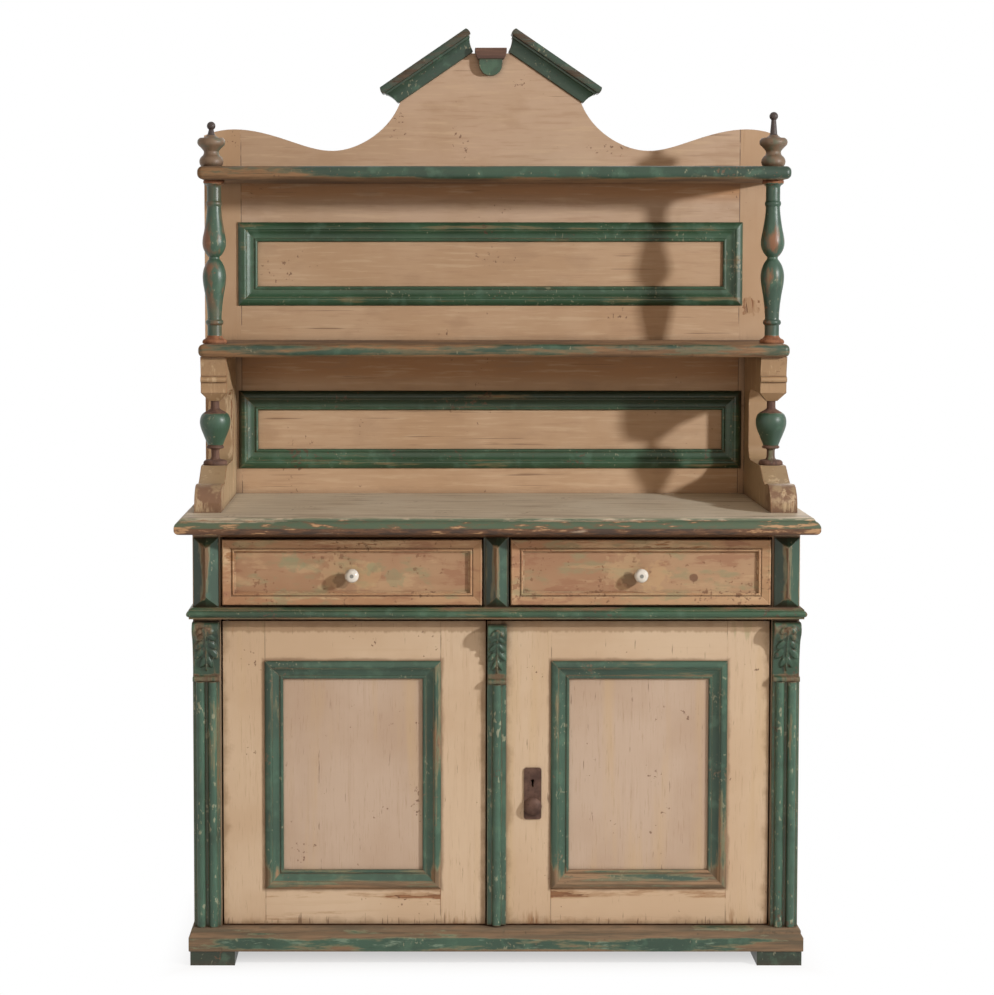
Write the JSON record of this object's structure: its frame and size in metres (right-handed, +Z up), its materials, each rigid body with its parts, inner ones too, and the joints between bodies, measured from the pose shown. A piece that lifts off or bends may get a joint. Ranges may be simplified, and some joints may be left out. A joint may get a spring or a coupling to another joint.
{
  "type": "kitchen hutch",
  "caption": "Free-standing painted pine kitchen hutch: a cupboard base with panelled doors and drawers under a countertop, and an open rack of shelves with turned posts and a shaped crest.",
  "frame": {"origin": "on the floor under the middle of the countertop, which is the middle of the whole bounding box", "axes": "+Z up, +X to the viewer's right, +Y towards the back; the doors and drawers face -Y"},
  "size_m": [1.28, 0.52, 1.919],
  "materials": {
    "cream_paint": "worn cream oil paint on pine",
    "green_paint": "worn blue-green oil paint on pine",
    "worn_green": "green paint rubbed through to brown pine",
    "worn_top": "scrubbed grey-brown pine",
    "bare_pine": "aged bare pine",
    "worn_drawer": "pine with traces of paint",
    "porcelain": "white glaze",
    "rusted_iron": "brown rusted iron",
    "pivot_steel": "dull steel"
  },
  "bodies": {
    "carcase": {"back_panels": "cream_paint", "back_rails": "cream_paint", "back_stiles": "cream_paint", "base_back_planks": "bare_pine", "bottom_board": "bare_pine", "bottom_rail": "bare_pine", "bracket_left": "cream_paint", "bracket_right": "cream_paint", "corner_capitals": "green_paint", "corner_pilasters": "green_paint", "corner_stiles": "cream_paint", "cornice_left": "green_paint", "cornice_right": "green_paint", "countertop": "worn_top", "crest_board": "cream_paint", "crest_corbel": "green_paint", "cupboard_shelf": "bare_pine", "drawer_blocks": "green_paint", "drawer_divider": "green_paint", "drawer_runners": "bare_pine", "feet": "green_paint", "finials": "bare_pine", "lower_panel_moulding": "green_paint", "plinth": "worn_green", "shelf_cleats": "bare_pine", "shelf_middle": "worn_green", "shelf_posts": "green_paint", "shelf_upper": "worn_green", "side_left": "cream_paint", "side_right": "cream_paint", "top_rail": "bare_pine", "upper_panel_moulding": "green_paint", "urn_balusters": "green_paint", "waist_moulding": "green_paint", "waist_rail": "bare_pine"},
    "door_left": {"door_left_moulding": "green_paint", "door_left_panel": "cream_paint", "door_left_pins": "pivot_steel", "door_left_rails": "cream_paint", "door_left_stiles": "cream_paint"},
    "door_right": {"astragal": "green_paint", "astragal_capital": "green_paint", "door_right_moulding": "green_paint", "door_right_panel": "cream_paint", "door_right_pins": "pivot_steel", "door_right_rails": "cream_paint", "door_right_stiles": "cream_paint", "lock_bolt": "rusted_iron", "lock_case": "rusted_iron", "lock_plate": "rusted_iron"},
    "turn_knob": {"turn_knob": "rusted_iron"},
    "drawer_left": {"drawer_left_box": "bare_pine", "drawer_left_front": "worn_drawer", "drawer_left_knob": "porcelain", "drawer_left_moulding": "worn_drawer"},
    "drawer_right": {"drawer_right_box": "bare_pine", "drawer_right_front": "worn_drawer", "drawer_right_knob": "porcelain", "drawer_right_moulding": "worn_drawer"}
  },
  "joints": [
    {"name": "door_left_hinge", "type": "hinge", "parent": "carcase", "child": "door_left", "pos_m": [-0.5405, -0.19, 0.385], "axis": [0, 0, -1], "range_deg": [0, 95]},
    {"name": "door_right_hinge", "type": "hinge", "parent": "carcase", "child": "door_right", "pos_m": [0.5405, -0.19, 0.385], "axis": [0, 0, 1], "range_deg": [0, 95]},
    {"name": "turn_knob_turn", "type": "hinge", "parent": "door_right", "child": "turn_knob", "pos_m": [0.07425, -0.2, 0.32], "axis": [0, -1, 0], "range_deg": [0, 90]},
    {"name": "drawer_left_slide", "type": "slide", "parent": "carcase", "child": "drawer_left", "axis": [0, -1, 0], "range_m": [0, 0.3]},
    {"name": "drawer_right_slide", "type": "slide", "parent": "carcase", "child": "drawer_right", "axis": [0, -1, 0], "range_m": [0, 0.3]}
  ]
}
